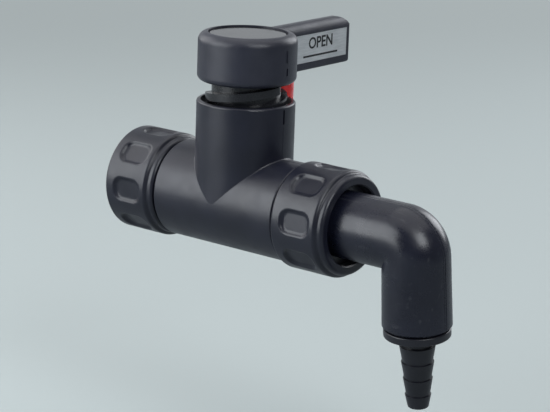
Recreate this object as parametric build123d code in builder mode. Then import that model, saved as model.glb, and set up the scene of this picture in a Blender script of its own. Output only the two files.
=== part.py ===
from build123d import *
from math import cos, radians, sin
import os

os.makedirs("parts", exist_ok=True)

# Clearances, in millimetres
fit_gap = 0.05
running_gap = 0.3
thread_gap = 0.4
shoulder_gap = 0.95

# Tee body: a straight run along X and a bonnet that stands on it along Z
half_run = 31.25
bonnet_top = 41.5
edge_round = 0.8
saddle_round = 0.6
waterway_r = 8.0
rim_step = 1.45
rim_wall = 1.6
rim_depth = 3.0
mark_width = 1.0
mark_depth = 0.6
bonnet_mark_length = 6.1
bonnet_mark_drop = 1.2

# Valve seat, plunger chamber and the port that leads down to the outlet
chamber_wall = 4.0
seat_height = 1.0
seat_bore_r = 5.5
seat_land = 1.7
inlet_bore_overrun = 0.3
partition = 2.2
port_width = 4.5
port_edge = 0.5
port_half_angle = 40.0
port_floor = 3.2

# Unions: the collar sets the gasket, spigot, tailpiece, nut and elbow
collar_r = 17.2
collar_length = 4.1
collar_overlap = 1.1
collar_step = 3.8
gasket_inset = 0.2
gasket_thickness = 2.0
tail_step = 2.7
tail_plug_length = 10.0
union_thread_depth = 1.4
nut_length = 24.8
nut_wall = 2.7
nut_land_end = 21.4
nut_rim_start = 22.2
nut_rim_drop = 1.4
nut_face_chamfer = 0.5
nut_end_wall = 4.5
nut_lead_in = 0.6
nut_mouth_round = 1.0
nut_land_round = 1.6
nut_valley_round = 0.8
nut_rim_round = 1.6
recess_count = 8
recess_width = 8.6
recess_depth = 1.5
recess_start = 5.4
recess_end = 18.0
recess_corner = 3.2
recess_draft = 35.0
recess_floor_round = 2.0
recess_brim_round = 1.2
inlet_nut_turn = 2.5
outlet_nut_turn = -6.0

# Outlet elbow, swung about the run's axis
outlet_swing = 6.0
elbow_reach = 39.1
elbow_wall = 2.9
leg_draft = 0.4
bend_r = 6.5
leg_length = 34.9
leg_chamfer = 0.9
plug_step = 1.0
plug_length = 14.5

# Hose nozzle
nozzle_bore_r = 3.2
flange_gap = 0.5
flange_inset = 0.55
flange_thickness = 3.2
flange_round = 0.5
neck_inset = 1.1
nozzle_neck_length = 4.1
barb_count = 4
barb_pitch = 6.9
barb_step = 0.65
barb_lip = 0.5
tip_length = 5.4
tip_wall = 0.9
tip_taper = 1.1
tip_round = 0.7
nozzle_ring_section = 0.9
nozzle_ring_depth = 7.0

# Spindle with a two-start thread, drawn with the tap open
spindle_r = 14.0
spindle_lift = 6.0
thread_starts = 2
thread_lead = 12.0
thread_height = 2.5
thread_crest_width = 3.1
thread_root_width = 3.6
thread_sink = 0.3
thread_engagement = 3.4
thread_mark_angle = -140.0
thread_mark_rise = 1.0
lug_turn = 60.0
lug_crest_width = 1.5
lug_root_width = 1.9
plunger_ring_section = 1.2
plunger_ring_drops = (1.9, 5.8)
groove_slack = 0.3
drive_size = 13.0
drive_height = 8.0

# Cone, its seal and fasteners
seal_inset = 0.8
seal_thickness = 2.5
cone_r = 8.4
cone_thickness = 2.0
stem_r = 4.0
stem_length = 8.6
cone_screw_r = 1.9
cone_screw_length = 8.0
cone_screw_head_r = 4.2
cone_screw_head = 1.8
clip_rise = 5.0
clip_thickness = 0.8
clip_reach = 1.0
clip_groove_depth = 0.7
clip_opening = 80.0

# Knob with its lever
knob_height = 19.6
knob_closed_gap = 1.9
knob_seat_gap = 0.2
knob_top_round = 3.6
knob_bottom_round = 2.4
knob_hollow_wall = 2.6
knob_hollow_depth = 10.0
knob_web = 4.0
knob_mark_length = 3.3
knob_mark_rise = 4.2
handle_turn = 3.0
lever_reach = 65.2
lever_root = 8.0
lever_thickness = 9.0
lever_rise = 0.2
lever_corner = 6.5
lever_top_round = 4.0
lever_bottom_round = 2.8
lever_edge_round = 0.8
lever_end_round = 1.2
label_root_gap = 2.5
label_end_gap = 2.4
label_rise = 3.1
label_drop = 4.5
label_recess = 0.5
label_thickness = 0.4
label_margin = 0.1

# Cap disc and the screw under it
cap_border = 0.35
cap_recess_depth = 2.0
cap_gap = 0.5
cap_thickness = 1.4
cap_edge = 0.3
cap_plug_length = 1.6
screw_r = 2.5
screw_length = 15.0
screw_head_reach = 2.1
screw_head = 2.8
washer_reach = 3.1
washer_gap = 0.9
washer_thickness = 1.0

# Red tab behind the bonnet
tab_half_angle = 22.0
tab_thickness = 1.3
tab_overlap = 12.5
tab_knob_gap = 1.9
tab_peg_r = 1.6
tab_peg_length = 2.0
tab_peg_rise = 4.5

# Radii of the spindle, bonnet, run and knob
plunger_bore_r = spindle_r + running_gap
thread_crest_r = spindle_r + thread_height
thread_bore_r = thread_crest_r + thread_gap
rim_bore_r = thread_bore_r + rim_step
bonnet_r = rim_bore_r + rim_wall
tube_r = bonnet_r + fit_gap
knob_r = tube_r
port_mid_r = plunger_bore_r - port_edge - port_width / 2
seal_r = cone_r - seal_inset
clip_r = stem_r + clip_reach
clip_groove_r = stem_r - clip_groove_depth
cap_recess_r = knob_r - knob_top_round - cap_border
cap_r = cap_recess_r - cap_gap
screw_head_r = screw_r + screw_head_reach
washer_r = screw_r + washer_reach
screw_well_r = washer_r + washer_gap

# Radii of the unions, elbow and nozzle
gasket_r = collar_r - gasket_inset
spigot_r = gasket_r + thread_gap
nut_pocket_r = collar_r + running_gap
nut_thread_r = spigot_r + union_thread_depth
nut_land_r = nut_thread_r + nut_wall
nut_rim_r = nut_land_r - nut_rim_drop
nut_bore_r = collar_r - collar_overlap
tail_tube_r = nut_bore_r - thread_gap
tail_plug_r = tail_tube_r - tail_step
elbow_r = collar_r - collar_step
plug_r = elbow_r - elbow_wall
elbow_bore_r = plug_r - plug_step
leg_mouth_r = elbow_r + leg_draft
flange_r = leg_mouth_r - flange_inset
tip_r = nozzle_bore_r + tip_wall
barb_r = tip_r + tip_taper + barb_count * barb_step - barb_step
nozzle_neck_r = barb_r - neck_inset

# Places along X: the inlet gasket's outer face is the origin
tail_face_x = gasket_thickness
tail_wall_x = tail_face_x + collar_length + running_gap
inlet_nut_x = tail_wall_x + nut_end_wall - nut_length
inlet_shoulder_x = inlet_nut_x + nut_length + shoulder_gap
bonnet_x = inlet_shoulder_x + half_run
outlet_shoulder_x = bonnet_x + half_run
outlet_nut_x = outlet_shoulder_x + shoulder_gap
elbow_face_x = outlet_nut_x + nut_length - nut_end_wall - running_gap - collar_length
outlet_gasket_x = elbow_face_x - gasket_thickness - fit_gap
spigot_end_x = outlet_gasket_x - fit_gap
leg_x = elbow_face_x + elbow_reach
bend_x = leg_x - bend_r
nut_thread_length = -inlet_nut_x

# Heights up the bonnet axis
chamber_floor = waterway_r + chamber_wall
seat_top = chamber_floor + seat_height
seal_bottom = seat_top + spindle_lift + fit_gap
cone_bottom = seal_bottom + seal_thickness
plunger_bottom = seat_top + spindle_lift + running_gap
cone_top = cone_bottom + cone_thickness
stem_top = cone_top + stem_length
clip_z = cone_top + clip_rise
rim_floor = bonnet_top - rim_depth
lug_top = rim_floor - running_gap
thread_bottom = lug_top - thread_engagement
thread_floor = thread_bottom - spindle_lift - running_gap
knob_bottom = bonnet_top + spindle_lift + knob_closed_gap
thread_top = knob_bottom - running_gap
thread_mark_z = bonnet_top + thread_mark_rise
thread_pitch = thread_lead / thread_starts
shoulder_z = knob_bottom - knob_seat_gap
drive_top = shoulder_z + drive_height
web_top = drive_top + knob_web
knob_top = knob_bottom + knob_height
cap_floor = knob_top - cap_recess_depth
lever_bottom = knob_bottom + lever_rise
lever_top = knob_top
label_bottom = lever_bottom + label_rise
label_top = lever_top - label_drop
label_start = knob_r + label_root_gap
label_end = lever_reach - label_end_gap
tab_bottom = bonnet_top - tab_overlap
tab_top = knob_bottom - tab_knob_gap
tab_peg_z = tab_bottom + tab_peg_rise

# Planes and axes
bonnet_plane = Plane(origin=(bonnet_x, 0, 0))
bonnet_section = Plane(origin=(bonnet_x, 0, 0), x_dir=(1, 0, 0), z_dir=(0, -1, 0))
bonnet_axis = Axis((bonnet_x, 0, 0), (0, 0, 1))
leg_up = Vector(0, -sin(radians(outlet_swing)), cos(radians(outlet_swing)))
leg_side = Vector(0, cos(radians(outlet_swing)), sin(radians(outlet_swing)))
leg_section = Plane(origin=(leg_x, 0, 0), x_dir=(1, 0, 0), z_dir=leg_side * -1)
leg_plane = Plane(origin=(leg_x, 0, 0), x_dir=(1, 0, 0), z_dir=leg_up * -1)
leg_axis = Axis((leg_x, 0, 0), leg_up)
bend_axis = Axis(Vector(bend_x, 0, 0) - leg_up * bend_r, leg_side)
handle_x_dir = (cos(radians(handle_turn)), sin(radians(handle_turn)), 0)
lever_dir = (-sin(radians(handle_turn)), cos(radians(handle_turn)), 0)
lever_back = (sin(radians(handle_turn)), -cos(radians(handle_turn)), 0)
handle_plane = Plane(origin=(bonnet_x, 0, 0), x_dir=handle_x_dir, z_dir=(0, 0, 1))
lever_section = Plane(origin=(bonnet_x, 0, 0), x_dir=lever_dir, z_dir=handle_x_dir)


def thread_angle(z):
    """Angle round the bonnet axis at which a spindle ridge is centred at height z."""
    return thread_mark_angle + (z - thread_mark_z) * 360 / thread_lead


def helical_bar(inner_r, outer_r, inner_width, outer_width, start_z, rise):
    """A bar of trapezoid section along a right-hand helix, starting over +X."""
    with BuildPart() as bar:
        with BuildLine() as path:
            Helix(pitch=thread_lead, height=rise, radius=inner_r, center=(0, 0, start_z))
        start = path.line
        with BuildSketch(Plane(origin=start @ 0, x_dir=(1, 0, 0), z_dir=start % 0)):
            with BuildLine():
                Polyline(
                    (0, -inner_width / 2),
                    (outer_r - inner_r, -outer_width / 2),
                    (outer_r - inner_r, outer_width / 2),
                    (0, inner_width / 2),
                    close=True,
                )
            make_face()
        sweep(path=start, is_frenet=True)
    return bar


def union_nut(mouth_x, turn):
    """A union nut with its threaded mouth at mouth_x and its bored rim further along X."""
    end_x = mouth_x + nut_length
    wall_x = end_x - nut_end_wall
    thread_end_x = mouth_x + nut_thread_length
    with BuildPart() as nut:
        # The profile stands between two recesses, so that none cuts the revolve's seam
        with BuildSketch(Plane.XZ.rotated((turn + 180 / recess_count, 0, 0))):
            with BuildLine():
                FilletPolyline(
                    (mouth_x, nut_thread_r + nut_lead_in),
                    (mouth_x, nut_land_r),
                    (mouth_x + nut_land_end, nut_land_r),
                    (mouth_x + nut_rim_start, nut_rim_r),
                    (end_x, nut_rim_r),
                    (end_x, nut_bore_r + nut_face_chamfer),
                    (end_x - nut_face_chamfer, nut_bore_r),
                    (wall_x, nut_bore_r),
                    (wall_x, nut_pocket_r),
                    (thread_end_x, nut_pocket_r),
                    (thread_end_x, nut_thread_r),
                    (mouth_x + nut_lead_in, nut_thread_r),
                    radius=(
                        0, nut_mouth_round, nut_land_round, nut_valley_round,
                        nut_rim_round, 0, 0, 0, 0, 0, 0, 0,
                    ),
                    close=True,
                )
            make_face()
        revolve(axis=Axis.X)
        recess_middle = mouth_x + (recess_start + recess_end) / 2
        for k in range(recess_count):
            around = (turn + k * 360 / recess_count, 0, 0)
            floor_plane = Plane.XY.rotated(around).offset(nut_land_r - recess_depth)
            with BuildPart(mode=Mode.PRIVATE) as scoop:
                with BuildSketch(floor_plane) as recess:
                    with Locations((recess_middle, 0)):
                        Rectangle(recess_end - recess_start, recess_width)
                    fillet(recess.vertices(), recess_corner)
                extrude(amount=2 * recess_depth, taper=-recess_draft)
                floor = scoop.faces().filter_by(floor_plane).sort_by(SortBy.AREA)[0]
                fillet(floor.edges(), recess_floor_round)
            add(scoop.part, mode=Mode.SUBTRACT)
        brims = nut.edges().filter_by(
            lambda e: abs(Vector(0, (e @ 0.5).Y, (e @ 0.5).Z).length - nut_land_r) < fit_gap
            and e.length < recess_end - recess_start
        )
        fillet(brims, recess_brim_round)
    return nut


def seal_ring(section, axis, ring_r, height, section_r):
    """A round-section rubber ring about an axis."""
    with BuildPart() as ring:
        with BuildSketch(section):
            with Locations((ring_r, height)):
                Circle(section_r)
        revolve(axis=axis)
    return ring


def flat_ring(plane, outer_r, inner_r, thickness):
    """A flat washer that rises from a plane."""
    with BuildPart() as ring:
        with BuildSketch(plane):
            Circle(outer_r)
            Circle(inner_r, mode=Mode.SUBTRACT)
        extrude(amount=thickness)
    return ring


# Valve body
lug_rise = thread_lead * lug_turn / 360
lug_start = lug_top - lug_root_width / 2 - lug_rise
thread_lug = helical_bar(
    spindle_r + thread_gap, thread_bore_r + thread_sink,
    lug_crest_width, lug_root_width, lug_start, lug_rise,
)
with BuildPart(bonnet_plane) as valve_body:
    with BuildSketch(Plane.YZ.offset(inlet_shoulder_x)):
        Circle(tube_r)
    extrude(amount=2 * half_run)
    with BuildSketch(bonnet_plane):
        Circle(bonnet_r)
    extrude(amount=bonnet_top)
    run_ends = valve_body.edges().group_by(Axis.X)[0] + valve_body.edges().group_by(Axis.X)[-1]
    fillet(run_ends + valve_body.edges().group_by(Axis.Z)[-1], edge_round)
    curved = valve_body.edges().filter_by(GeomType.LINE, reverse=True)
    fillet(curved.filter_by(GeomType.CIRCLE, reverse=True), saddle_round)
    with BuildSketch(Plane.YZ.offset(outlet_shoulder_x)):
        Circle(spigot_r)
    extrude(amount=spigot_end_x - outlet_shoulder_x)
    with BuildSketch(Plane.YZ.offset(inlet_shoulder_x)):
        Circle(tail_plug_r + fit_gap)
    extrude(amount=tail_plug_length + running_gap, mode=Mode.SUBTRACT)
    with BuildSketch(Plane.YZ.offset(inlet_shoulder_x)):
        Circle(waterway_r)
    inlet_bore_end = seat_bore_r + inlet_bore_overrun
    extrude(amount=half_run + inlet_bore_end, mode=Mode.SUBTRACT)
    with BuildSketch(Plane.YZ.offset(spigot_end_x)):
        Circle(waterway_r)
    outlet_bore_length = spigot_end_x - bonnet_x - inlet_bore_end - partition
    extrude(amount=-outlet_bore_length, mode=Mode.SUBTRACT)
    with BuildSketch(bonnet_section):
        with BuildLine():
            Polyline(
                (0, chamber_floor),
                (plunger_bore_r, chamber_floor),
                (plunger_bore_r, thread_floor),
                (thread_bore_r, thread_floor),
                (thread_bore_r, rim_floor),
                (rim_bore_r, rim_floor),
                (rim_bore_r, bonnet_top),
                (0, bonnet_top),
                close=True,
            )
        make_face()
    revolve(axis=bonnet_axis, mode=Mode.SUBTRACT)
    with BuildSketch(bonnet_plane.offset(chamber_floor)):
        Circle(seat_bore_r + seat_land)
    extrude(amount=seat_height)
    with BuildSketch(bonnet_plane):
        Circle(seat_bore_r)
    extrude(amount=seat_top, mode=Mode.SUBTRACT)
    with BuildSketch(bonnet_plane.offset(chamber_floor)):
        with BuildLine() as port_line:
            CenterArc((0, 0), port_mid_r, -port_half_angle, 2 * port_half_angle)
        SlotArc(port_line.edge(), port_width)
    extrude(amount=port_floor - chamber_floor, mode=Mode.SUBTRACT)
    with PolarLocations(0, thread_starts, start_angle=thread_angle(lug_start + thread_pitch / 2)):
        add(thread_lug.part)
    with BuildSketch(Plane.YZ.offset(bonnet_x + bonnet_r - mark_depth)):
        with Locations((0, bonnet_top - bonnet_mark_drop - bonnet_mark_length / 2)):
            SlotOverall(bonnet_mark_length, mark_width, rotation=90)
    extrude(amount=2 * mark_depth, mode=Mode.SUBTRACT)
    with BuildSketch(Plane.XZ.offset(-bonnet_r + tab_peg_length)):
        with Locations((bonnet_x, tab_peg_z)):
            Circle(tab_peg_r + fit_gap)
    extrude(amount=-2 * tab_peg_length, mode=Mode.SUBTRACT)
valve_body.part.label = "valve_body"
export_step(valve_body.part, "parts/valve_body.step")

# Inlet tailpiece, with a collar that the inlet nut draws home
with BuildPart() as inlet_tailpiece:
    with BuildSketch(Plane.XZ):
        with BuildLine():
            Polyline(
                (tail_face_x, waterway_r),
                (tail_face_x, collar_r),
                (tail_face_x + collar_length, collar_r),
                (tail_face_x + collar_length, tail_tube_r),
                (inlet_shoulder_x, tail_tube_r),
                (inlet_shoulder_x, tail_plug_r),
                (inlet_shoulder_x + tail_plug_length, tail_plug_r),
                (inlet_shoulder_x + tail_plug_length, waterway_r),
                close=True,
            )
        make_face()
    revolve(axis=Axis.X)
inlet_tailpiece.part.label = "inlet_tailpiece"
export_step(inlet_tailpiece.part, "parts/inlet_tailpiece.step")

# Gaskets at the two unions
inlet_gasket = flat_ring(Plane.YZ, gasket_r, waterway_r, gasket_thickness)
inlet_gasket.part.label = "inlet_gasket"
export_step(inlet_gasket.part, "parts/inlet_gasket.step")

outlet_gasket = flat_ring(Plane.YZ.offset(outlet_gasket_x), gasket_r, waterway_r, gasket_thickness)
outlet_gasket.part.label = "outlet_gasket"
export_step(outlet_gasket.part, "parts/outlet_gasket.step")

# Union nuts
inlet_union_nut = union_nut(inlet_nut_x, inlet_nut_turn)
inlet_union_nut.part.label = "inlet_union_nut"
export_step(inlet_union_nut.part, "parts/inlet_union_nut.step")

outlet_union_nut = union_nut(outlet_nut_x, outlet_nut_turn)
outlet_union_nut.part.label = "outlet_union_nut"
export_step(outlet_union_nut.part, "parts/outlet_union_nut.step")

# Outlet elbow: collared run, bend with a full outer corner, and a leg with moulding draft
with BuildPart() as outlet_elbow:
    with BuildSketch(Plane.XZ):
        with BuildLine():
            Polyline(
                (elbow_face_x, 0),
                (elbow_face_x, collar_r),
                (elbow_face_x + collar_length, collar_r),
                (elbow_face_x + collar_length, elbow_r),
                (bend_x, elbow_r),
                (bend_x, 0),
                close=True,
            )
        make_face()
    revolve(axis=Axis.X)
    with BuildSketch(leg_section):
        with BuildLine():
            Polyline(
                (0, -bend_r),
                (elbow_r, -bend_r),
                (leg_mouth_r, -leg_length + leg_chamfer),
                (leg_mouth_r - leg_chamfer, -leg_length),
                (0, -leg_length),
                close=True,
            )
        make_face()
    revolve(axis=leg_axis)
    with BuildSketch(Plane(origin=(bend_x, 0, 0), x_dir=leg_side, z_dir=(1, 0, 0))):
        Circle(elbow_r)
        with Locations((0, (elbow_r - bend_r) / 2)):
            Rectangle(2 * elbow_r, elbow_r + bend_r, mode=Mode.INTERSECT)
    revolve(axis=bend_axis, revolution_arc=90)
    with BuildSketch(Plane.YZ.offset(elbow_face_x)):
        Circle(elbow_bore_r)
    extrude(amount=elbow_reach, mode=Mode.SUBTRACT)
    with BuildSketch(leg_plane):
        Circle(elbow_bore_r)
    extrude(amount=leg_length, mode=Mode.SUBTRACT)
    with Locations((leg_x, 0, 0)):
        Sphere(elbow_bore_r, mode=Mode.SUBTRACT)
    with BuildSketch(leg_plane.offset(leg_length)):
        Circle(plug_r + fit_gap)
    extrude(amount=-plug_length - running_gap, mode=Mode.SUBTRACT)
outlet_elbow.part.label = "outlet_elbow"
export_step(outlet_elbow.part, "parts/outlet_elbow.step")

# Hose nozzle, plugged into the elbow's leg
flange_top = leg_length + flange_gap
first_barb = flange_top + flange_thickness + nozzle_neck_length
tip_depth = first_barb + barb_count * barb_pitch - barb_pitch + tip_length
plug_top = leg_length - plug_length
barb_points = []
for k in range(barb_count):
    barb_points.append((barb_r - k * barb_step, -first_barb - k * barb_pitch))
    if k < barb_count - 1:
        barb_points.append((barb_r - (k + 1) * barb_step - barb_lip, -first_barb - (k + 1) * barb_pitch))
with BuildPart() as hose_nozzle:
    with BuildSketch(leg_section):
        with BuildLine():
            Polyline(
                (nozzle_bore_r, -plug_top),
                (plug_r, -plug_top),
                (plug_r, -flange_top),
                (flange_r, -flange_top),
                (flange_r, -flange_top - flange_thickness),
                (nozzle_neck_r, -flange_top - flange_thickness),
                (nozzle_neck_r, -first_barb),
                *barb_points,
                (tip_r, -tip_depth),
                (nozzle_bore_r, -tip_depth),
                close=True,
            )
        make_face()
    revolve(axis=leg_axis)
    ring_height = -leg_length + nozzle_ring_depth
    ring_floor_r = plug_r - 2 * nozzle_ring_section
    with BuildSketch(leg_section):
        with Locations((plug_r, ring_height)):
            Rectangle(2 * (plug_r - ring_floor_r), 2 * nozzle_ring_section + groove_slack)
    revolve(axis=leg_axis, mode=Mode.SUBTRACT)
    rims = hose_nozzle.edges().filter_by(GeomType.CIRCLE)
    fillet(rims.filter_by(lambda e: abs(e.radius - flange_r) < fit_gap), flange_round)
    fillet(rims.filter_by(lambda e: abs(e.radius - tip_r) < fit_gap), tip_round)
hose_nozzle.part.label = "hose_nozzle"
export_step(hose_nozzle.part, "parts/hose_nozzle.step")

nozzle_o_ring = seal_ring(
    leg_section, leg_axis, ring_floor_r + nozzle_ring_section, ring_height, nozzle_ring_section
)
nozzle_o_ring.part.label = "nozzle_o_ring"
export_step(nozzle_o_ring.part, "parts/nozzle_o_ring.step")

# Spindle
ridge_start = thread_bottom + thread_root_width / 2
ridge_rise = thread_top - thread_root_width / 2 - ridge_start
thread_ridge = helical_bar(
    spindle_r - thread_sink, thread_crest_r,
    thread_root_width, thread_crest_width, ridge_start, ridge_rise,
)
ring_reach = plunger_bore_r - fit_gap - plunger_ring_section
groove_floor_r = ring_reach - plunger_ring_section - fit_gap
with BuildPart(bonnet_plane) as spindle:
    with BuildSketch(bonnet_plane.offset(plunger_bottom)):
        Circle(spindle_r)
    extrude(amount=shoulder_z - plunger_bottom)
    with BuildSketch(bonnet_section):
        for drop in plunger_ring_drops:
            with Locations((spindle_r, plunger_bottom + drop + plunger_ring_section)):
                Rectangle(2 * (spindle_r - groove_floor_r), 2 * plunger_ring_section + groove_slack)
    revolve(axis=bonnet_axis, mode=Mode.SUBTRACT)
    with BuildSketch(handle_plane.offset(shoulder_z)):
        Rectangle(drive_size, drive_size)
    extrude(amount=drive_height)
    with BuildSketch(bonnet_section):
        with BuildLine():
            Polyline(
                (0, plunger_bottom),
                (cone_r + running_gap, plunger_bottom),
                (cone_r + running_gap, cone_top + running_gap),
                (stem_r + running_gap, cone_top + running_gap),
                (stem_r + running_gap, clip_z - running_gap),
                (clip_r + running_gap, clip_z - running_gap),
                (clip_r + running_gap, clip_z + clip_thickness + running_gap),
                (stem_r + running_gap, clip_z + clip_thickness + running_gap),
                (stem_r + running_gap, stem_top + running_gap),
                (0, stem_top + running_gap),
                close=True,
            )
        make_face()
    revolve(axis=bonnet_axis, mode=Mode.SUBTRACT)
    with BuildSketch(bonnet_plane.offset(drive_top)):
        Circle(screw_r + fit_gap)
    extrude(amount=-screw_length, mode=Mode.SUBTRACT)
    with PolarLocations(0, thread_starts, start_angle=thread_angle(ridge_start)):
        add(thread_ridge.part)
spindle.part.label = "spindle"
export_step(spindle.part, "parts/spindle.step")

for name, drop in zip(("lower", "upper"), plunger_ring_drops):
    ring_z = plunger_bottom + drop + plunger_ring_section
    plunger_ring = seal_ring(bonnet_section, bonnet_axis, ring_reach, ring_z, plunger_ring_section)
    plunger_ring.part.label = f"spindle_o_ring_{name}"
    export_step(plunger_ring.part, f"parts/spindle_o_ring_{name}.step")

# Valve cone with its stem, seal, screw and clip
with BuildPart() as valve_cone:
    with BuildSketch(bonnet_section):
        with BuildLine():
            Polyline(
                (cone_screw_r + fit_gap, cone_bottom),
                (cone_r, cone_bottom),
                (cone_r, cone_top),
                (stem_r, cone_top),
                (stem_r, clip_z - fit_gap),
                (clip_groove_r, clip_z - fit_gap),
                (clip_groove_r, clip_z + clip_thickness + fit_gap),
                (stem_r, clip_z + clip_thickness + fit_gap),
                (stem_r, stem_top),
                (0, stem_top),
                (0, seal_bottom + cone_screw_length),
                (cone_screw_r + fit_gap, seal_bottom + cone_screw_length),
                close=True,
            )
        make_face()
    revolve(axis=bonnet_axis)
valve_cone.part.label = "valve_cone"
export_step(valve_cone.part, "parts/valve_cone.step")

cone_seal = flat_ring(bonnet_plane.offset(seal_bottom), seal_r, cone_screw_r + fit_gap, seal_thickness)
cone_seal.part.label = "cone_seal"
export_step(cone_seal.part, "parts/cone_seal.step")

with BuildPart() as cone_screw:
    with BuildSketch(bonnet_plane.offset(seal_bottom)):
        Circle(cone_screw_head_r)
    extrude(amount=-cone_screw_head)
    fillet(cone_screw.edges().group_by(Axis.Z)[0], cone_screw_head / 2)
    with BuildSketch(bonnet_plane.offset(seal_bottom)):
        Circle(cone_screw_r)
    extrude(amount=cone_screw_length - running_gap)
cone_screw.part.label = "cone_screw"
export_step(cone_screw.part, "parts/cone_screw.step")

with BuildPart() as cone_clip:
    with BuildSketch(bonnet_plane.offset(clip_z)):
        with BuildLine() as clip_line:
            CenterArc(
                (0, 0), (clip_r + clip_groove_r + fit_gap) / 2, clip_opening / 2, 360 - clip_opening
            )
        SlotArc(clip_line.edge(), clip_r - clip_groove_r - fit_gap)
    extrude(amount=clip_thickness)
cone_clip.part.label = "cone_clip"
export_step(cone_clip.part, "parts/cone_clip.step")

# Handle: knob and lever in one moulding
with BuildPart() as lever:
    with BuildSketch(lever_section):
        with BuildLine():
            FilletPolyline(
                (lever_root, lever_bottom),
                (lever_reach, lever_bottom),
                (lever_reach, lever_top),
                (lever_root, lever_top),
                radius=(0, lever_bottom_round, lever_corner, 0),
                close=True,
            )
        make_face()
    extrude(amount=lever_thickness / 2, both=True)
    with BuildSketch(Plane(origin=(bonnet_x, 0, 0), x_dir=handle_x_dir, z_dir=lever_back)):
        with BuildLine():
            FilletPolyline(
                (-lever_thickness / 2, lever_bottom),
                (lever_thickness / 2, lever_bottom),
                (lever_thickness / 2, lever_top),
                (-lever_thickness / 2, lever_top),
                radius=(lever_edge_round, lever_edge_round, lever_top_round, lever_top_round),
                close=True,
            )
        make_face()
    extrude(amount=-lever_reach, mode=Mode.INTERSECT)
    with BuildSketch(handle_plane.offset(lever_bottom)):
        with BuildLine():
            FilletPolyline(
                (-lever_thickness / 2, 0),
                (-lever_thickness / 2, lever_reach),
                (lever_thickness / 2, lever_reach),
                (lever_thickness / 2, 0),
                radius=(0, lever_end_round, lever_end_round, 0),
                close=True,
            )
        make_face()
    extrude(amount=lever_top - lever_bottom, mode=Mode.INTERSECT)

with BuildPart() as handle:
    with BuildSketch(handle_plane.offset(knob_bottom)):
        Circle(knob_r)
    extrude(amount=knob_top - knob_bottom)
    fillet(handle.edges().group_by(Axis.Z)[-1], knob_top_round)
    fillet(handle.edges().group_by(Axis.Z)[0], knob_bottom_round)
    add(lever.part)
    with BuildSketch(handle_plane.offset(knob_bottom)):
        Circle(knob_r - knob_hollow_wall)
        Circle(spindle_r + running_gap, mode=Mode.SUBTRACT)
    extrude(amount=knob_hollow_depth, mode=Mode.SUBTRACT)
    with BuildSketch(handle_plane.offset(knob_bottom)):
        Rectangle(drive_size + 2 * fit_gap, drive_size + 2 * fit_gap)
    extrude(amount=drive_top - knob_bottom, mode=Mode.SUBTRACT)
    with BuildSketch(handle_plane.offset(knob_top)):
        Circle(cap_recess_r)
    extrude(amount=cap_floor - knob_top, mode=Mode.SUBTRACT)
    with BuildSketch(handle_plane.offset(cap_floor)):
        Circle(screw_well_r)
    extrude(amount=web_top - cap_floor, mode=Mode.SUBTRACT)
    with BuildSketch(handle_plane.offset(web_top)):
        Circle(screw_r + running_gap)
    extrude(amount=drive_top - web_top, mode=Mode.SUBTRACT)
    for side in (-1, 1):
        with BuildSketch(lever_section.offset(side * (lever_thickness / 2 - label_recess))):
            with Locations(((label_start + label_end) / 2, (label_bottom + label_top) / 2)):
                Rectangle(label_end - label_start, label_top - label_bottom)
        extrude(amount=side * 2 * label_recess, mode=Mode.SUBTRACT)
    with BuildSketch(lever_section.offset(knob_r - mark_depth)):
        with Locations((0, knob_bottom + knob_mark_rise + knob_mark_length / 2)):
            SlotOverall(knob_mark_length, mark_width, rotation=90)
    extrude(amount=2 * mark_depth, mode=Mode.SUBTRACT)
handle.part.label = "handle"
export_step(handle.part, "parts/handle.step")

# Labels let into the lever's two faces
for name, side in (("label_on", 1), ("label_off", -1)):
    with BuildPart() as label:
        with BuildSketch(lever_section.offset(side * (lever_thickness / 2 - label_recess))):
            with Locations(((label_start + label_end) / 2, (label_bottom + label_top) / 2)):
                Rectangle(
                    label_end - label_start - 2 * label_margin,
                    label_top - label_bottom - 2 * label_margin,
                )
        extrude(amount=side * label_thickness)
    label.part.label = name
    export_step(label.part, f"parts/{name}.step")

# Cap disc with a plug that snaps into the screw well
with BuildPart() as cap_disc:
    with BuildSketch(handle_plane.offset(cap_floor)):
        Circle(cap_r)
    extrude(amount=cap_thickness)
    chamfer(cap_disc.edges().group_by(Axis.Z)[-1], cap_edge)
    with BuildSketch(handle_plane.offset(cap_floor)):
        Circle(screw_well_r - fit_gap)
    extrude(amount=-cap_plug_length)
cap_disc.part.label = "cap_disc"
export_step(cap_disc.part, "parts/cap_disc.step")

# Screw and washer that hold the knob on the spindle
handle_washer = flat_ring(bonnet_plane.offset(web_top), washer_r, screw_r + fit_gap, washer_thickness)
handle_washer.part.label = "handle_washer"
export_step(handle_washer.part, "parts/handle_washer.step")

with BuildPart() as handle_screw:
    head_z = web_top + washer_thickness
    with BuildSketch(bonnet_plane.offset(head_z)):
        Circle(screw_head_r)
    extrude(amount=screw_head)
    fillet(handle_screw.edges().group_by(Axis.Z)[-1], screw_head / 3)
    with BuildSketch(bonnet_plane.offset(head_z)):
        Circle(screw_r)
    extrude(amount=-screw_length)
handle_screw.part.label = "handle_screw"
export_step(handle_screw.part, "parts/handle_screw.step")

# Red tab, pegged to the back of the bonnet
with BuildPart() as red_tab:
    tab_inner_r = knob_r + running_gap
    with BuildSketch(bonnet_plane.offset(tab_bottom)):
        with BuildLine() as tab_line:
            CenterArc(
                (0, 0), tab_inner_r + tab_thickness / 2, 90 - tab_half_angle, 2 * tab_half_angle
            )
        SlotArc(tab_line.edge(), tab_thickness)
    extrude(amount=tab_top - tab_bottom)
    with BuildSketch(Plane.XZ.offset(-tab_inner_r - tab_thickness / 2)):
        with Locations((bonnet_x, tab_peg_z)):
            Circle(tab_peg_r)
    peg_reach = tab_inner_r + tab_thickness / 2 - bonnet_r + tab_peg_length - running_gap
    extrude(amount=peg_reach)
red_tab.part.label = "red_tab"
export_step(red_tab.part, "parts/red_tab.step")
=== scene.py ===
import math

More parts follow.
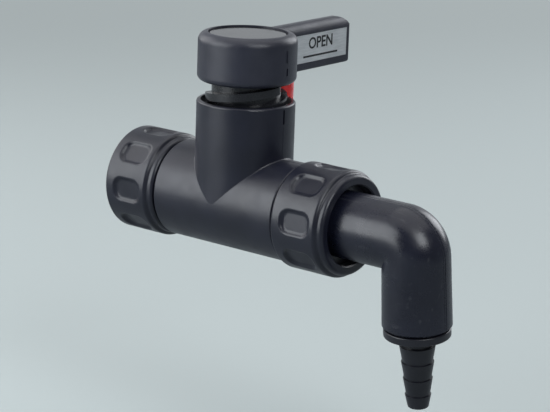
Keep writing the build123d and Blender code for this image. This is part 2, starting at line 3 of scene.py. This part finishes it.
import bmesh
import bpy
from mathutils import Matrix, Vector


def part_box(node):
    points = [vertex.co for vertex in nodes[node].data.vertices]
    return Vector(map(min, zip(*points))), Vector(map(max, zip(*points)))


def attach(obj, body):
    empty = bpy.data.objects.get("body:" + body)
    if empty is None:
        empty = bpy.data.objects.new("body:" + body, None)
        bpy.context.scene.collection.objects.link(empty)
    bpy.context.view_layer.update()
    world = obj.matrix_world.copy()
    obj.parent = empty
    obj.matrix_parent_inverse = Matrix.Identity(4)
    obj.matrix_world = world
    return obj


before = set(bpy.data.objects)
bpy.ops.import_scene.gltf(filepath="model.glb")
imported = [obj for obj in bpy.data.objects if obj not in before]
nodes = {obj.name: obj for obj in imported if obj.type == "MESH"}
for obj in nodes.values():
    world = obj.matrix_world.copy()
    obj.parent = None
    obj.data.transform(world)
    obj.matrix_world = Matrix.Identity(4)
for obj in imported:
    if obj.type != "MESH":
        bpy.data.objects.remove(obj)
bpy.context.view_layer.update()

MM = 0.001
X_DIR, Z_DIR = Vector((1, 0, 0)), Vector((0, 0, 1))


# Places and sizes, in millimetres

def corners(node):
    """A CAD node's lowest and highest corner, in millimetres."""
    return [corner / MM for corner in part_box(node)]


body_lo, body_hi = corners("valve_body")
cap_lo, cap_hi = corners("cap_disc")
handle_lo, _ = corners("handle")
inlet_nut_lo, _ = corners("inlet_union_nut")
outlet_nut_lo, outlet_nut_hi = corners("outlet_union_nut")
_, elbow_hi = corners("outlet_elbow")
label_on_lo, label_on_hi = corners("label_on")
label_off_lo, label_off_hi = corners("label_off")

# The body's run, its bonnet and the knob over it
TUBE_R = body_hi.y
BONNET_X = (cap_lo.x + cap_hi.x) / 2
BONNET_R = 19.95
KNOB_R = BONNET_X - handle_lo.x
INLET_SHOULDER = body_lo.x
OUTLET_SHOULDER = 2 * BONNET_X - INLET_SHOULDER

# Union threads
UNION_PITCH = 3.0
THREAD_STEPS = 72
THREAD_ROOT_WIDTH, THREAD_CREST_WIDTH = 1.5, 0.6
THREAD_BED = 0.05
THREAD_LEAST_FADE = 0.05
THREAD_END_GAP = 1.0
SPIGOT_R, SPIGOT_CREST_R = 17.4, 18.45
SPIGOT_THREAD_START, SPIGOT_END = 76.4, body_hi.x
NUT_THREAD_R, NUT_CREST_R = 18.8, 17.75
NUT_THREAD_LENGTH, NUT_LEAD_IN = 13.9, 1.6

# Parting lines
SEAM_HEIGHT, SEAM_WIDTH, SEAM_BED = 0.10, 0.35, 0.1
SEAM_END_GAP, SEAM_BONNET_GAP = 1.0, 0.6
BONNET_SEAM_START = 20.8
BONNET_SEAM_ENDS = {"outlet": 33.4, "inlet": 40.4}
ELBOW_SEAM_HEIGHT, ELBOW_SEAM_SHIFT, ELBOW_SEAM_GAP = 0.12, 0.55, 0.4
BEND_STEPS = 24

# The elbow swings about the run, and its leg widens a little to its mouth
SWING = math.radians(6.0)
ELBOW_R, BEND_R = 13.4, 6.5
BEND_X, LEG_X, LEG_LENGTH = 123.8, 130.3, 34.9
LEG_MOUTH_R = elbow_hi.x - LEG_X

# Labels and numbers on the handle, which is turned a little at rest. The labels lie on
# either side of the lever, with their middles LABEL_MID along it
TURN = math.radians(3.0)
LABEL_FACE = 4.4
LABEL_Z = (label_on_lo.z + label_on_hi.z) / 2
LABEL_MID = (label_on_lo + label_on_hi + label_off_lo + label_off_hi).y / 4 / math.cos(TURN)
INK_DEPTH, INK_LIFT, INK_SHIFT = 0.06, 0.02, 1.5
WORD_SIZE, WORD_WEIGHT, WORD_RISE = 6.6, 0.12, 1.7
RULE_LENGTH, RULE_WIDTH, RULE_RISE = 24.0, 0.8, -3.4
NUMBER_SIZE, NUMBER_WEIGHT, NUMBER_DEPTH, NUMBER_Z = 6.8, 0.1, 0.7, 61.2


# Materials

MOTTLE_SCALE, SHEEN_SCALE, SHEEN_SPREAD = 60.0, 140.0, 0.06
GRAIN_HEIGHT = 0.00008
SCUFF_SCALE, SCUFF_STRETCH = 1500.0, (0.05, 0.6, 0.25)
SCUFF_COLOUR = (0.13, 0.135, 0.145, 1.0)
RUBBER_SCALE, RUBBER_ROUGH, RUBBER_GRAIN_SCALE, RUBBER_GRAIN = 220.0, 0.78, 1800.0, 0.25
BRUSH_SCALE, BRUSH_SPREAD, BRUSH_GRAIN, BRUSH_HEIGHT = 1600.0, 0.07, 0.08, 0.00005


def new_material(name):
    mat = bpy.data.materials.new(name)
    mat.use_nodes = True
    tree = mat.node_tree
    return mat, tree, tree.nodes["Principled BSDF"]


def noise(tree, scale, detail=3.0, roughness=0.55, stretch=None):
    coord = tree.nodes.new("ShaderNodeTexCoord")
    tex = tree.nodes.new("ShaderNodeTexNoise")
    tex.inputs["Scale"].default_value = scale
    tex.inputs["Detail"].default_value = detail
    tex.inputs["Roughness"].default_value = roughness
    if stretch:
        mapping = tree.nodes.new("ShaderNodeMapping")
        mapping.inputs["Scale"].default_value = stretch
        tree.links.new(coord.outputs["Object"], mapping.inputs["Vector"])
        tree.links.new(mapping.outputs["Vector"], tex.inputs["Vector"])
    else:
        tree.links.new(coord.outputs["Object"], tex.inputs["Vector"])
    return tex.outputs["Fac"]


def ramp(tree, value, stops):
    node = tree.nodes.new("ShaderNodeValToRGB")
    elements = node.color_ramp.elements
    while len(elements) < len(stops):
        elements.new(0.5)
    for element, (place, colour) in zip(elements, stops):
        element.position = place
        element.color = (*colour, 1.0)
    tree.links.new(value, node.inputs["Fac"])
    return node.outputs["Color"]


def bump(tree, shader, height, strength, distance):
    node = tree.nodes.new("ShaderNodeBump")
    node.inputs["Strength"].default_value = strength
    node.inputs["Distance"].default_value = distance
    tree.links.new(height, node.inputs["Height"])
    tree.links.new(node.outputs["Normal"], shader.inputs["Normal"])


def grey(v):
    return (v, v, v)


def plastic(name, dark, light, rough, grain_scale, grain, scuffs=0.0):
    """Moulded plastic with a faint mottle, a fine grain and, where asked for, pale scuffs."""
    mat, tree, shader = new_material(name)
    tone = ramp(tree, noise(tree, MOTTLE_SCALE), [(0.35, dark), (0.68, light)])
    if scuffs:
        lines = noise(tree, SCUFF_SCALE, 2.0, 0.5, SCUFF_STRETCH)
        mask = ramp(tree, lines, [(0.62, grey(0.0)), (0.80, grey(scuffs))])
        mix = tree.nodes.new("ShaderNodeMix")
        mix.data_type = "RGBA"
        mix.inputs["B"].default_value = SCUFF_COLOUR
        tree.links.new(mask, mix.inputs["Factor"])
        tree.links.new(tone, mix.inputs["A"])
        tone = mix.outputs["Result"]
    tree.links.new(tone, shader.inputs["Base Color"])
    sheen = [(0.3, grey(rough - SHEEN_SPREAD)), (0.7, grey(rough + SHEEN_SPREAD))]
    tree.links.new(ramp(tree, noise(tree, SHEEN_SCALE), sheen), shader.inputs["Roughness"])
    bump(tree, shader, noise(tree, grain_scale), grain, GRAIN_HEIGHT)
    return mat


def polished_plastic(name, ior, *look):
    mat = plastic(name, *look)
    mat.node_tree.nodes["Principled BSDF"].inputs["IOR"].default_value = ior
    return mat


def lit_through_plastic(name, depth, spread, *look):
    """Plastic that lets light through, to a depth in metres and with a spread for each colour."""
    mat = plastic(name, *look)
    shader = mat.node_tree.nodes["Principled BSDF"]
    shader.inputs["Subsurface Weight"].default_value = 1.0
    shader.inputs["Subsurface Scale"].default_value = depth
    shader.inputs["Subsurface Radius"].default_value = spread
    return mat


def rubber(name):
    mat, tree, shader = new_material(name)
    tone = ramp(tree, noise(tree, RUBBER_SCALE), [(0.3, grey(0.010)), (0.75, grey(0.022))])
    tree.links.new(tone, shader.inputs["Base Color"])
    shader.inputs["Roughness"].default_value = RUBBER_ROUGH
    bump(tree, shader, noise(tree, RUBBER_GRAIN_SCALE), RUBBER_GRAIN, GRAIN_HEIGHT)
    return mat


def metal(name, dark, light, rough, stretch):
    """Brushed metal, with the brush marks drawn out where stretch is small."""
    mat, tree, shader = new_material(name)
    grain = noise(tree, BRUSH_SCALE, 4.0, 0.6, stretch)
    tree.links.new(ramp(tree, grain, [(0.3, dark), (0.72, light)]), shader.inputs["Base Color"])
    sheen = [(0.3, grey(rough - BRUSH_SPREAD)), (0.7, grey(rough + BRUSH_SPREAD))]
    tree.links.new(ramp(tree, grain, sheen), shader.inputs["Roughness"])
    shader.inputs["Metallic"].default_value = 1.0
    bump(tree, shader, grain, BRUSH_GRAIN, BRUSH_HEIGHT)
    return mat


body_mat = plastic(
    "body_black", (0.0065, 0.0075, 0.0155), (0.0105, 0.0118, 0.0225), 0.35, 2600.0, 0.30)
elbow_mat = plastic(
    "elbow_black", (0.0060, 0.0070, 0.0150), (0.0098, 0.0112, 0.0215), 0.29, 2200.0, 0.20, 0.16)
nut_mat = plastic(
    "nut_black", (0.0070, 0.0080, 0.0155), (0.0115, 0.0128, 0.0230), 0.34, 2400.0, 0.30)
handle_mat = plastic(
    "handle_black", (0.0140, 0.0155, 0.0255), (0.0230, 0.0248, 0.0380), 0.38, 3400.0, 0.60)
nozzle_mat = plastic(
    "nozzle_black", (0.0065, 0.007, 0.011), (0.011, 0.0115, 0.017), 0.32, 2000.0, 0.18)
spindle_mat = plastic(
    "spindle_black", (0.009, 0.0094, 0.012), (0.016, 0.0166, 0.020), 0.24, 1500.0, 0.10)
cap_mat = polished_plastic(
    "cap_polish", 1.62, (0.006, 0.006, 0.007), (0.009, 0.009, 0.010), 0.10, 300.0, 0.01)
red_mat = lit_through_plastic(
    "tab_red", 0.008, (1.0, 0.4, 0.4), (0.90, 0.17, 0.18), (0.97, 0.24, 0.25), 0.42, 2200.0, 0.2)
seal_mat = rubber("seal_black")
steel_mat = metal(
    "screw_steel", (0.40, 0.41, 0.42), (0.58, 0.59, 0.60), 0.32, (1.0, 1.0, 0.2))
label_mat = metal(
    "label_silver", (0.72, 0.73, 0.74), (0.90, 0.91, 0.92), 0.44, (1.0, 0.08, 1.0))
ink_mat = plastic(
    "label_ink", (0.008, 0.008, 0.009), (0.014, 0.014, 0.016), 0.5, 2600.0, 0.1)

LOOKS = {
    "valve_body": body_mat, "inlet_tailpiece": body_mat, "outlet_elbow": elbow_mat,
    "hose_nozzle": nozzle_mat, "inlet_union_nut": nut_mat, "outlet_union_nut": nut_mat,
    "handle": handle_mat, "spindle": spindle_mat, "valve_cone": spindle_mat,
    "cap_disc": cap_mat, "label_on": label_mat, "label_off": label_mat, "red_tab": red_mat,
    "inlet_gasket": seal_mat, "outlet_gasket": seal_mat, "cone_seal": seal_mat,
    "nozzle_o_ring": seal_mat, "spindle_o_ring_lower": seal_mat,
    "spindle_o_ring_upper": seal_mat, "handle_screw": steel_mat,
    "handle_washer": steel_mat, "cone_screw": steel_mat, "cone_clip": steel_mat,
}
for name, mat in LOOKS.items():
    nodes[name].data.materials.clear()
    nodes[name].data.materials.append(mat)


# Dressed pieces, whose meshes are made in millimetres

def piece(mesh, mat, body):
    mesh.transform(Matrix.Scale(MM, 4))
    mesh.materials.clear()
    mesh.materials.append(mat)
    obj = bpy.data.objects.new(mesh.name, mesh)
    bpy.context.scene.collection.objects.link(obj)
    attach(obj, body)


def swept(name, sections):
    """A closed bar through a row of four-cornered sections."""
    faces = []
    for i in range(len(sections) - 1):
        for k in range(4):
            a, b = 4 * i + k, 4 * i + (k + 1) % 4
            faces.append((a, b, b + 4, a + 4))
    last = 4 * (len(sections) - 1)
    faces += [(0, 1, 2, 3), (last + 3, last + 2, last + 1, last)]
    mesh = bpy.data.meshes.new(name)
    mesh.from_pydata([point for section in sections for point in section], [], faces)
    shell = bmesh.new()
    shell.from_mesh(mesh)
    bmesh.ops.recalc_face_normals(shell, faces=shell.faces)
    shell.to_mesh(mesh)
    shell.free()
    return mesh


def union_thread(name, start_x, end_x, root_r, crest_r, phase):
    """A right-hand ridge about X that fades in and out over its first and last quarter turn."""
    count = int(THREAD_STEPS * (end_x - start_x) / UNION_PITCH)
    sections = []
    for i in range(count + 1):
        x = start_x + (end_x - start_x) * i / count
        angle = 2 * math.pi * (x - phase) / UNION_PITCH
        fade = min(1.0, 4 * i / THREAD_STEPS, 4 * (count - i) / THREAD_STEPS)
        crest = root_r + (crest_r - root_r) * max(fade, THREAD_LEAST_FADE)
        profile = (
            (root_r, -THREAD_ROOT_WIDTH), (crest, -THREAD_CREST_WIDTH),
            (crest, THREAD_CREST_WIDTH), (root_r, THREAD_ROOT_WIDTH),
        )
        sections.append([
            (x + width / 2, r * math.cos(angle), r * math.sin(angle)) for r, width in profile
        ])
    return swept(name, sections)


def nut_thread(name, mouth_x, phase):
    start_x = mouth_x + NUT_LEAD_IN
    end_x = mouth_x + NUT_THREAD_LENGTH - THREAD_END_GAP
    return union_thread(name, start_x, end_x, NUT_THREAD_R + THREAD_BED, NUT_CREST_R, phase)


def seam(name, line, outs, height):
    """A low moulded line along points, standing off a surface along the out vectors."""
    sections = []
    for i, (point, out) in enumerate(zip(line, outs)):
        along = (line[min(i + 1, len(line) - 1)] - line[max(i - 1, 0)]).normalized()
        side = along.cross(out).normalized() * SEAM_WIDTH
        base, top = point - out * SEAM_BED, point + out * height
        sections.append([base - side / 2, top - side / 4, top + side / 4, base + side / 2])
    return swept(name, sections)


def body_seam(name, start, end, out):
    mesh = seam(name, [Vector(start), Vector(end)], [Vector(out)] * 2, SEAM_HEIGHT)
    piece(mesh, body_mat, "valve_body")


def text_mesh(name, words, size, depth, weight):
    """Lettering as a mesh in its own plane, centred."""
    curve = bpy.data.curves.new(name, "FONT")
    curve.body = words
    curve.size = size
    curve.extrude = depth / 2
    curve.offset = weight
    curve.align_x = "CENTER"
    curve.align_y = "CENTER"
    curve.resolution_u = 4
    holder = bpy.data.objects.new(name, curve)
    bpy.context.scene.collection.objects.link(holder)
    bpy.context.view_layer.update()
    shown = holder.evaluated_get(bpy.context.evaluated_depsgraph_get())
    mesh = bpy.data.meshes.new_from_object(shown)
    bpy.data.objects.remove(holder)
    mesh.name = name
    return mesh


def rule_mesh(name, length, width, depth):
    """A flat line along X, centred."""
    y, z = width / 2, depth / 2
    ends = [[(x, -y, -z), (x, y, -z), (x, y, z), (x, -y, z)] for x in (-length / 2, length / 2)]
    return swept(name, ends)


# Union threads on the spigot and inside the two nuts
spigot_thread = union_thread(
    "spigot_thread", SPIGOT_THREAD_START, SPIGOT_END - THREAD_END_GAP,
    SPIGOT_R - THREAD_BED, SPIGOT_CREST_R, 0.0)
piece(spigot_thread, body_mat, "valve_body")
outlet_thread = nut_thread("outlet_nut_thread", outlet_nut_lo.x, UNION_PITCH / 2)
piece(outlet_thread, nut_mat, "outlet_nut")
inlet_thread = nut_thread("inlet_nut_thread", inlet_nut_lo.x, 0.0)
piece(inlet_thread, nut_mat, "inlet_nut")

# Parting lines along the top and underside of the run and up the bonnet
run_start, run_end = INLET_SHOULDER + SEAM_END_GAP, OUTLET_SHOULDER - SEAM_END_GAP
bonnet_reach = BONNET_R + SEAM_BONNET_GAP
body_seam("run_seam_inlet", (run_start, 0, TUBE_R), (BONNET_X - bonnet_reach, 0, TUBE_R), Z_DIR)
body_seam("run_seam_outlet", (BONNET_X + bonnet_reach, 0, TUBE_R), (run_end, 0, TUBE_R), Z_DIR)
body_seam("run_seam_under", (run_start, 0, -TUBE_R), (run_end, 0, -TUBE_R), -Z_DIR)
for name, sign in (("outlet", 1), ("inlet", -1)):
    x = BONNET_X + sign * BONNET_R
    top = BONNET_SEAM_ENDS[name]
    body_seam(f"bonnet_seam_{name}", (x, 0, BONNET_SEAM_START), (x, 0, top), X_DIR * sign)

# The elbow's twin line runs along its top, round the bend and down the leg
leg_up = Vector((0, -math.sin(SWING), math.cos(SWING)))
leg_side = Vector((0, math.cos(SWING), math.sin(SWING)))
bend_mid = X_DIR * BEND_X - leg_up * BEND_R
path = [X_DIR * (outlet_nut_hi.x + ELBOW_SEAM_GAP) + leg_up * ELBOW_R]
outs = [leg_up]
for i in range(BEND_STEPS + 1):
    angle = math.pi / 2 * i / BEND_STEPS
    out = leg_up * math.cos(angle) + X_DIR * math.sin(angle)
    path.append(bend_mid + out * (BEND_R + ELBOW_R))
    outs.append(out)
path.append(X_DIR * (LEG_X + LEG_MOUTH_R) - leg_up * (LEG_LENGTH - SEAM_END_GAP))
outs.append(X_DIR)
for name, shift in (("left", -ELBOW_SEAM_SHIFT), ("right", ELBOW_SEAM_SHIFT)):
    line = [point + leg_side * shift for point in path]
    mesh = seam(f"elbow_seam_{name}", line, outs, ELBOW_SEAM_HEIGHT)
    piece(mesh, elbow_mat, "outlet_elbow")

# A plain word with a rule below it on each of the two labels
handle_x = Vector((math.cos(TURN), math.sin(TURN), 0))
lever_dir = Vector((-math.sin(TURN), math.cos(TURN), 0))
for name, side, word in (("on", 1, "OPEN"), ("off", -1, "SHUT")):
    word_mesh = text_mesh(f"label_{name}_word", word, WORD_SIZE, INK_DEPTH, WORD_WEIGHT)
    line_mesh = rule_mesh(f"label_{name}_rule", RULE_LENGTH, RULE_WIDTH, INK_DEPTH)
    face_turn = Matrix((lever_dir * side, Z_DIR, handle_x * side)).transposed().to_4x4()
    for mesh, rise in ((word_mesh, WORD_RISE), (line_mesh, RULE_RISE)):
        place = (X_DIR * BONNET_X + Z_DIR * (LABEL_Z + rise)
                 + handle_x * side * (LABEL_FACE + INK_LIFT) + lever_dir * (LABEL_MID + INK_SHIFT))
        mesh.transform(Matrix.Translation(place) @ face_turn)
        piece(mesh, ink_mat, "handle")

# Raised numbers wrapped round the knob, over its pointer marks
for name, number, start_angle in (("one", "1", 0.0), ("zero", "0", math.pi)):
    mesh = text_mesh(f"knob_{name}", number, NUMBER_SIZE, NUMBER_DEPTH, NUMBER_WEIGHT)
    for v in mesh.vertices:
        angle = TURN + start_angle + v.co.x / KNOB_R
        r = KNOB_R + v.co.z
        v.co = (BONNET_X + r * math.cos(angle), r * math.sin(angle), NUMBER_Z + v.co.y)
    mesh.update()
    piece(mesh, handle_mat, "handle")


# Stage, camera and light, in metres

FLOOR_Z, FLOOR_HALF = -0.11, 6.0
FLOOR_ROUGH, FLOOR_IN_GLOSS = 0.9, 0.35
FLOOR_LIT, FLOOR_SEEN = (0.13, 0.15, 0.17, 1.0), (0.405, 0.450, 0.450, 1.0)
BACKDROP_START, BACKDROP_END, BACKDROP_SEEN = 0.5, 1.7, (0.44, 0.49, 0.50, 1.0)
ROOM_SEEN = (0.56, 0.62, 0.63, 1.0)
ROOM_FRONT, ROOM_SIDE = (0.045, 0.048, 0.052), (0.12, 0.127, 0.137)
ROOM_BACK = (0.56, 0.59, 0.62)

# The camera as it was fitted to the photograph, with angles in radians and the focal
# length in the photograph's pixels
AZIMUTH, ELEVATION, DISTANCE = 0.702267, 0.244459, 0.88292
YAW, PITCH, ROLL = -0.0153316, 0.0024462, 0.0353510
FOCAL, PHOTO_WIDTH, SENSOR = 2172.16, 550, 36.0
CLIP_START, CLIP_END = 0.01, 40.0

centre = X_DIR * BONNET_X * MM
flat_right = Vector((math.cos(AZIMUTH), math.sin(AZIMUTH), 0))
flat_front = Vector((math.sin(AZIMUTH), -math.cos(AZIMUTH), 0))


def outward(azimuth, elevation):
    """The direction from the object to a viewer."""
    level = math.cos(elevation)
    return Vector((math.sin(azimuth) * level, -math.cos(azimuth) * level, math.sin(elevation)))


def stage_material():
    """A pale floor that turns, far from the lamps, into a plain backdrop for the camera."""
    mat, tree, shader = new_material("stage_pale")
    shader.inputs["Roughness"].default_value = FLOOR_ROUGH
    paths = tree.nodes.new("ShaderNodeLightPath")
    shown = tree.nodes.new("ShaderNodeMath")
    shown.operation = "MULTIPLY_ADD"
    shown.inputs[1].default_value = FLOOR_IN_GLOSS
    colour = tree.nodes.new("ShaderNodeMix")
    colour.data_type = "RGBA"
    colour.inputs["A"].default_value = FLOOR_LIT
    colour.inputs["B"].default_value = FLOOR_SEEN
    tree.links.new(paths.outputs["Is Glossy Ray"], shown.inputs[0])
    tree.links.new(paths.outputs["Is Camera Ray"], shown.inputs[2])
    tree.links.new(shown.outputs["Value"], colour.inputs["Factor"])
    tree.links.new(colour.outputs["Result"], shader.inputs["Base Color"])

    coord = tree.nodes.new("ShaderNodeTexCoord")
    away = tree.nodes.new("ShaderNodeVectorMath")
    away.operation = "LENGTH"
    far = tree.nodes.new("ShaderNodeMapRange")
    far.interpolation_type = "SMOOTHSTEP"
    far.inputs["From Min"].default_value = BACKDROP_START
    far.inputs["From Max"].default_value = BACKDROP_END
    far_seen = tree.nodes.new("ShaderNodeMath")
    far_seen.operation = "MULTIPLY"
    backdrop = tree.nodes.new("ShaderNodeEmission")
    backdrop.inputs["Color"].default_value = BACKDROP_SEEN
    blend = tree.nodes.new("ShaderNodeMixShader")
    tree.links.new(coord.outputs["Object"], away.inputs[0])
    tree.links.new(away.outputs["Value"], far.inputs["Value"])
    tree.links.new(far.outputs["Result"], far_seen.inputs[0])
    tree.links.new(paths.outputs["Is Camera Ray"], far_seen.inputs[1])
    tree.links.new(far_seen.outputs["Value"], blend.inputs["Fac"])
    tree.links.new(shader.outputs["BSDF"], blend.inputs[1])
    tree.links.new(backdrop.outputs["Emission"], blend.inputs[2])
    tree.links.new(blend.outputs["Shader"], tree.nodes["Material Output"].inputs["Surface"])
    return mat


def floor():
    mesh = bpy.data.meshes.new("floor")
    square = ((-1, -1), (1, -1), (1, 1), (-1, 1))
    mesh.from_pydata([(x * FLOOR_HALF, y * FLOOR_HALF, FLOOR_Z) for x, y in square],
                     [], [(0, 1, 2, 3)])
    mesh.materials.append(stage_material())
    obj = bpy.data.objects.new("floor", mesh)
    bpy.context.scene.collection.objects.link(obj)


def camera():
    look = -outward(AZIMUTH + YAW, ELEVATION + PITCH)
    right = look.cross(Z_DIR).normalized()
    up = right.cross(look)
    cam_x = right * math.cos(ROLL) + up * math.sin(ROLL)
    cam_y = -right * math.sin(ROLL) + up * math.cos(ROLL)
    data = bpy.data.cameras.new("camera")
    data.sensor_width = SENSOR
    data.lens = FOCAL / PHOTO_WIDTH * SENSOR
    data.clip_start, data.clip_end = CLIP_START, CLIP_END
    obj = bpy.data.objects.new("camera", data)
    bpy.context.scene.collection.objects.link(obj)
    pose = Matrix((cam_x, cam_y, -look)).transposed().to_4x4()
    pose.translation = centre + outward(AZIMUTH, ELEVATION) * DISTANCE
    obj.matrix_world = pose
    bpy.context.scene.camera = obj


def area(name, right, front, rise, target, size, power, colour):
    """A square lamp, placed to the right of, in front of and over the tap as the camera sees it."""
    data = bpy.data.lights.new(name, "AREA")
    data.shape = "RECTANGLE"
    data.size = data.size_y = size
    data.energy = power
    data.color = colour
    obj = bpy.data.objects.new(name, data)
    bpy.context.scene.collection.objects.link(obj)
    obj.location = centre + flat_right * right + flat_front * front + Z_DIR * rise
    obj.rotation_mode = "QUATERNION"
    obj.rotation_quaternion = (target - obj.location).to_track_quat("-Z", "Y")


def room():
    """A room that is darker in front of the tap and paler behind it."""
    world = bpy.data.worlds.new("world")
    world.use_nodes = True
    tree = world.node_tree
    coord = tree.nodes.new("ShaderNodeTexCoord")
    facing = tree.nodes.new("ShaderNodeVectorMath")
    facing.operation = "DOT_PRODUCT"
    facing.inputs[1].default_value = -flat_front
    half = tree.nodes.new("ShaderNodeMapRange")
    half.inputs["From Min"].default_value = -1.0
    tree.links.new(coord.outputs["Generated"], facing.inputs[0])
    tree.links.new(facing.outputs["Value"], half.inputs["Value"])
    stops = [(0.0, ROOM_FRONT), (0.5, ROOM_SIDE), (1.0, ROOM_BACK)]
    tone = ramp(tree, half.outputs["Result"], stops)
    paths = tree.nodes.new("ShaderNodeLightPath")
    colour = tree.nodes.new("ShaderNodeMix")
    colour.data_type = "RGBA"
    colour.inputs["B"].default_value = ROOM_SEEN
    tree.links.new(paths.outputs["Is Camera Ray"], colour.inputs["Factor"])
    tree.links.new(tone, colour.inputs["A"])
    tree.links.new(colour.outputs["Result"], tree.nodes["Background"].inputs["Color"])
    tree.nodes["Background"].inputs["Strength"].default_value = 1.0
    bpy.context.scene.world = world


floor()
camera()
TOP_SHIFT = 0.15
area("key_left", -0.88, 0.34, 0.32, centre, 0.80, 9.0, (0.93, 0.97, 1.0))
area("rim_right", 0.85, -0.85, 0.50, centre, 0.70, 6.0, (0.93, 0.96, 1.0))
area("top", 0.0, TOP_SHIFT, 1.80, centre + flat_front * TOP_SHIFT, 2.60, 22.0, grey(1.0))
area("front", 0.42, 0.80, 0.62, centre, 0.50, 5.0, (0.93, 0.97, 1.0))
area("card_left", -0.80, -0.45, 0.42, centre, 0.80, 4.0, grey(1.0))
room()
bpy.context.scene.view_settings.view_transform = "Standard"
